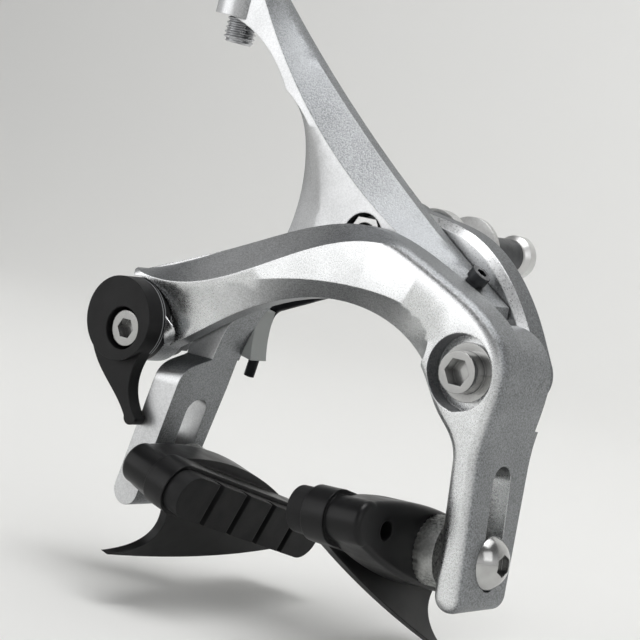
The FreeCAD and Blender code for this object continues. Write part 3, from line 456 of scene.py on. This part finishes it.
# Brake shoes: dull rubber blocks in satin black moulded holders with a wheel guide fin, each on a dished
# pair of rough grey sintered washers and a button-head bolt through the slot of its leg. The washer next
# to the holder has teeth of uneven depth round its edge.
sintered_steel = forged_metal("sintered steel", "#C2C3C1", "#ACADAB", grain_mm=0.6, face_rough=0.45,
                              side_rough=0.55, grit=0.4)
shoe_black = moulded_plastic("satin black holder", "#0F0F10", rough=0.36, grain_mm=0.35, relief=0.2)
pad_rubber = moulded_plastic("brake rubber", "#161617", rough=0.6, grain_mm=0.7, relief=0.5)
for hand in ("left", "right"):
    finished(hand + "_shoe", "shoe_black", shoe_black)
    finished(hand + "_pad", "pad_rubber", pad_rubber)
    finished(hand + "_cup_washer", "washer_cast", sintered_steel)
    finished(hand + "_shoe_bolt", "bright_steel", bright_steel)

shoe_bolts = {"left": ((-43.4 * MM, -27.2 * MM, -57.8 * MM), -1, math.radians(13.5)),
              "right": ((41.0 * MM, -27.2 * MM, -57.8 * MM), 1, math.radians(3.5))}
washer_hole_r = 3.1 * MM
washer_r = 7.2 * MM
washer_near = 5.7 * MM
washer_far = 10.5 * MM
washer_step = 0.2 * MM
ball_tip = 4.5 * MM
ball_tip_r = 3.5 * MM
ball_root_r = 4.7 * MM
teeth = 36
tooth_l = 1.6 * MM
tooth_depth = 0.45 * MM
tooth_steps = 8
tooth_swells = 16
washer_radius, washer_height = filled([
    (washer_hole_r, ball_tip), (ball_tip_r, ball_tip), (ball_root_r, washer_near), (washer_r, washer_near),
    (washer_r, washer_far), (washer_hole_r, washer_far), (washer_hole_r, ball_tip)], washer_step)
tooth_turns = np.arange(tooth_steps * teeth) / tooth_steps
swell = 0.7 + 0.3 * np.sin(2 * math.pi * tooth_swells * tooth_turns / teeth)
tooth_wave = np.abs(2 * (tooth_turns % 1) - 1) * swell
on_edge = washer_radius > washer_r - tooth_depth
toothed = np.clip((washer_height - washer_far + tooth_l) / tooth_l, 0, 1) * on_edge
washer_form = washer_radius[:, None] - tooth_depth * toothed[:, None] * tooth_wave[None, :]
for hand, (bolt_place, side_sign, lean) in shoe_bolts.items():
    inward = (-side_sign * math.cos(lean), 0, -math.sin(lean))
    washer = lathe(hand + "_toothed_washer", washer_form[:-1], washer_height[:-1], bolt_place, inward,
                   sintered_steel)
    show(washer, body_with(hand + "_ball_washer"), "washer_cast", hand + "_ball_washer")

# Studio: a pale seamless sweep under and behind the part, lit by soft boxes, with the camera low at
# the front right and rolled a little, as a hand-held shot is.
sweep_half = 2.4
sweep_front = -2.4
sweep_bend_y = 0.5
sweep_bend_r = 0.6
sweep_bend_points = 25
sweep_top = 1.5
sweep_hex = "#E9E9E7"


def sweep_surface(floor_z):
    """Sheet of a profile in Y and Z carried along X: flat floor, quarter turn, upright wall."""
    turn = np.linspace(0, math.pi / 2, sweep_bend_points)
    along = np.concatenate([[sweep_front], sweep_bend_y + sweep_bend_r * np.sin(turn),
                            [sweep_bend_y + sweep_bend_r]])
    height = np.concatenate([[0], sweep_bend_r * (1 - np.cos(turn)), [sweep_top]]) + floor_z
    across = np.array([-sweep_half, sweep_half])
    grid = np.stack([np.repeat(across, len(along)), np.tile(along, 2), np.tile(height, 2)], axis=1)
    step = np.arange(len(along) - 1)
    faces = np.stack([step, step + len(along), step + len(along) + 1, step + 1], axis=1)
    mesh = bpy.data.meshes.new("sweep")
    mesh.from_pydata(grid, [], faces)
    mesh.polygons.foreach_set("use_smooth", np.ones(len(faces), bool))
    return mesh


paper, _, paper_shader, _ = new_material("pale studio paper")
paper_shader.inputs["Base Color"].default_value = linear(sweep_hex)
paper_shader.inputs["Roughness"].default_value = 0.9
sweep = bpy.data.objects.new("sweep", sweep_surface(cad_box[0][2]))
sweep.data.materials.append(paper)
bpy.context.scene.collection.objects.link(sweep)


def soft_box(name, place, aim, size, watts):
    """Square area lamp at a place, turned to face a point."""
    lamp = bpy.data.lights.new(name, "AREA")
    lamp.shape = "SQUARE"
    lamp.size = size
    lamp.energy = watts
    obj = bpy.data.objects.new(name, lamp)
    obj.location = place
    obj.rotation_euler = (Vector(aim) - Vector(place)).to_track_quat("-Z", "Y").to_euler()
    bpy.context.scene.collection.objects.link(obj)


middle = [(low + high) / 2 for low, high in zip(*cad_box)]
wall_aim = (-0.1, 0.9, 0.2)
soft_box("key box", (-0.78, -0.98, 0.42), middle, size=1.1, watts=4.6)
soft_box("side box", (1.05, -0.45, 0.55), middle, size=0.7, watts=2.0)
soft_box("top box", (0.15, 0.06, 1.0), middle, size=0.85, watts=3.4)
soft_box("back box", (0.1, 0.05, 1.2), wall_aim, size=0.7, watts=7.5)

wall_glow = 0.72
ceiling_glow = 0.16
world = bpy.data.worlds.new("studio")
bpy.context.scene.world = world
world.use_nodes = True
sky = world.node_tree
way = add(sky, "ShaderNodeTexCoord").outputs["Generated"]
way_up = add(sky, "ShaderNodeSeparateXYZ", links={"Vector": way}).outputs["Z"]
glow = add(sky, "ShaderNodeMapRange",
           {"interpolation_type": "SMOOTHSTEP", "From Min": 0.05, "From Max": 0.75, "To Min": wall_glow,
            "To Max": ceiling_glow}, {"Value": way_up}).outputs["Result"]
sky.nodes["Background"].inputs["Color"].default_value = (1.0, 1.0, 1.0, 1.0)
sky.links.new(glow, sky.nodes["Background"].inputs["Strength"])

azimuth = math.radians(37.16)
elevation = math.radians(4.49)
roll = math.radians(10.25)
camera_place = (242.9 * MM, -357.7 * MM, 13.6 * MM)
focal_pixels = 1979.6
frame_pixels = 640
towards_camera = Vector((math.sin(azimuth) * math.cos(elevation), -math.cos(azimuth) * math.cos(elevation),
                         math.sin(elevation)))
level_right = Vector((math.cos(azimuth), math.sin(azimuth), 0))
level_up = towards_camera.cross(level_right)
right = level_right * math.cos(roll) + level_up * math.sin(roll)
upward = level_up * math.cos(roll) - level_right * math.sin(roll)
lens = bpy.data.cameras.new("camera")
lens.sensor_width = 36.0
lens.lens = lens.sensor_width * focal_pixels / frame_pixels
lens.clip_start = 0.01
camera = bpy.data.objects.new("camera", lens)
turn_matrix = Matrix((right, upward, towards_camera)).transposed()
camera.matrix_world = Matrix.Translation(camera_place) @ turn_matrix.to_4x4()
bpy.context.scene.collection.objects.link(camera)
bpy.context.scene.camera = camera
bpy.context.scene.view_settings.view_transform = "Standard"
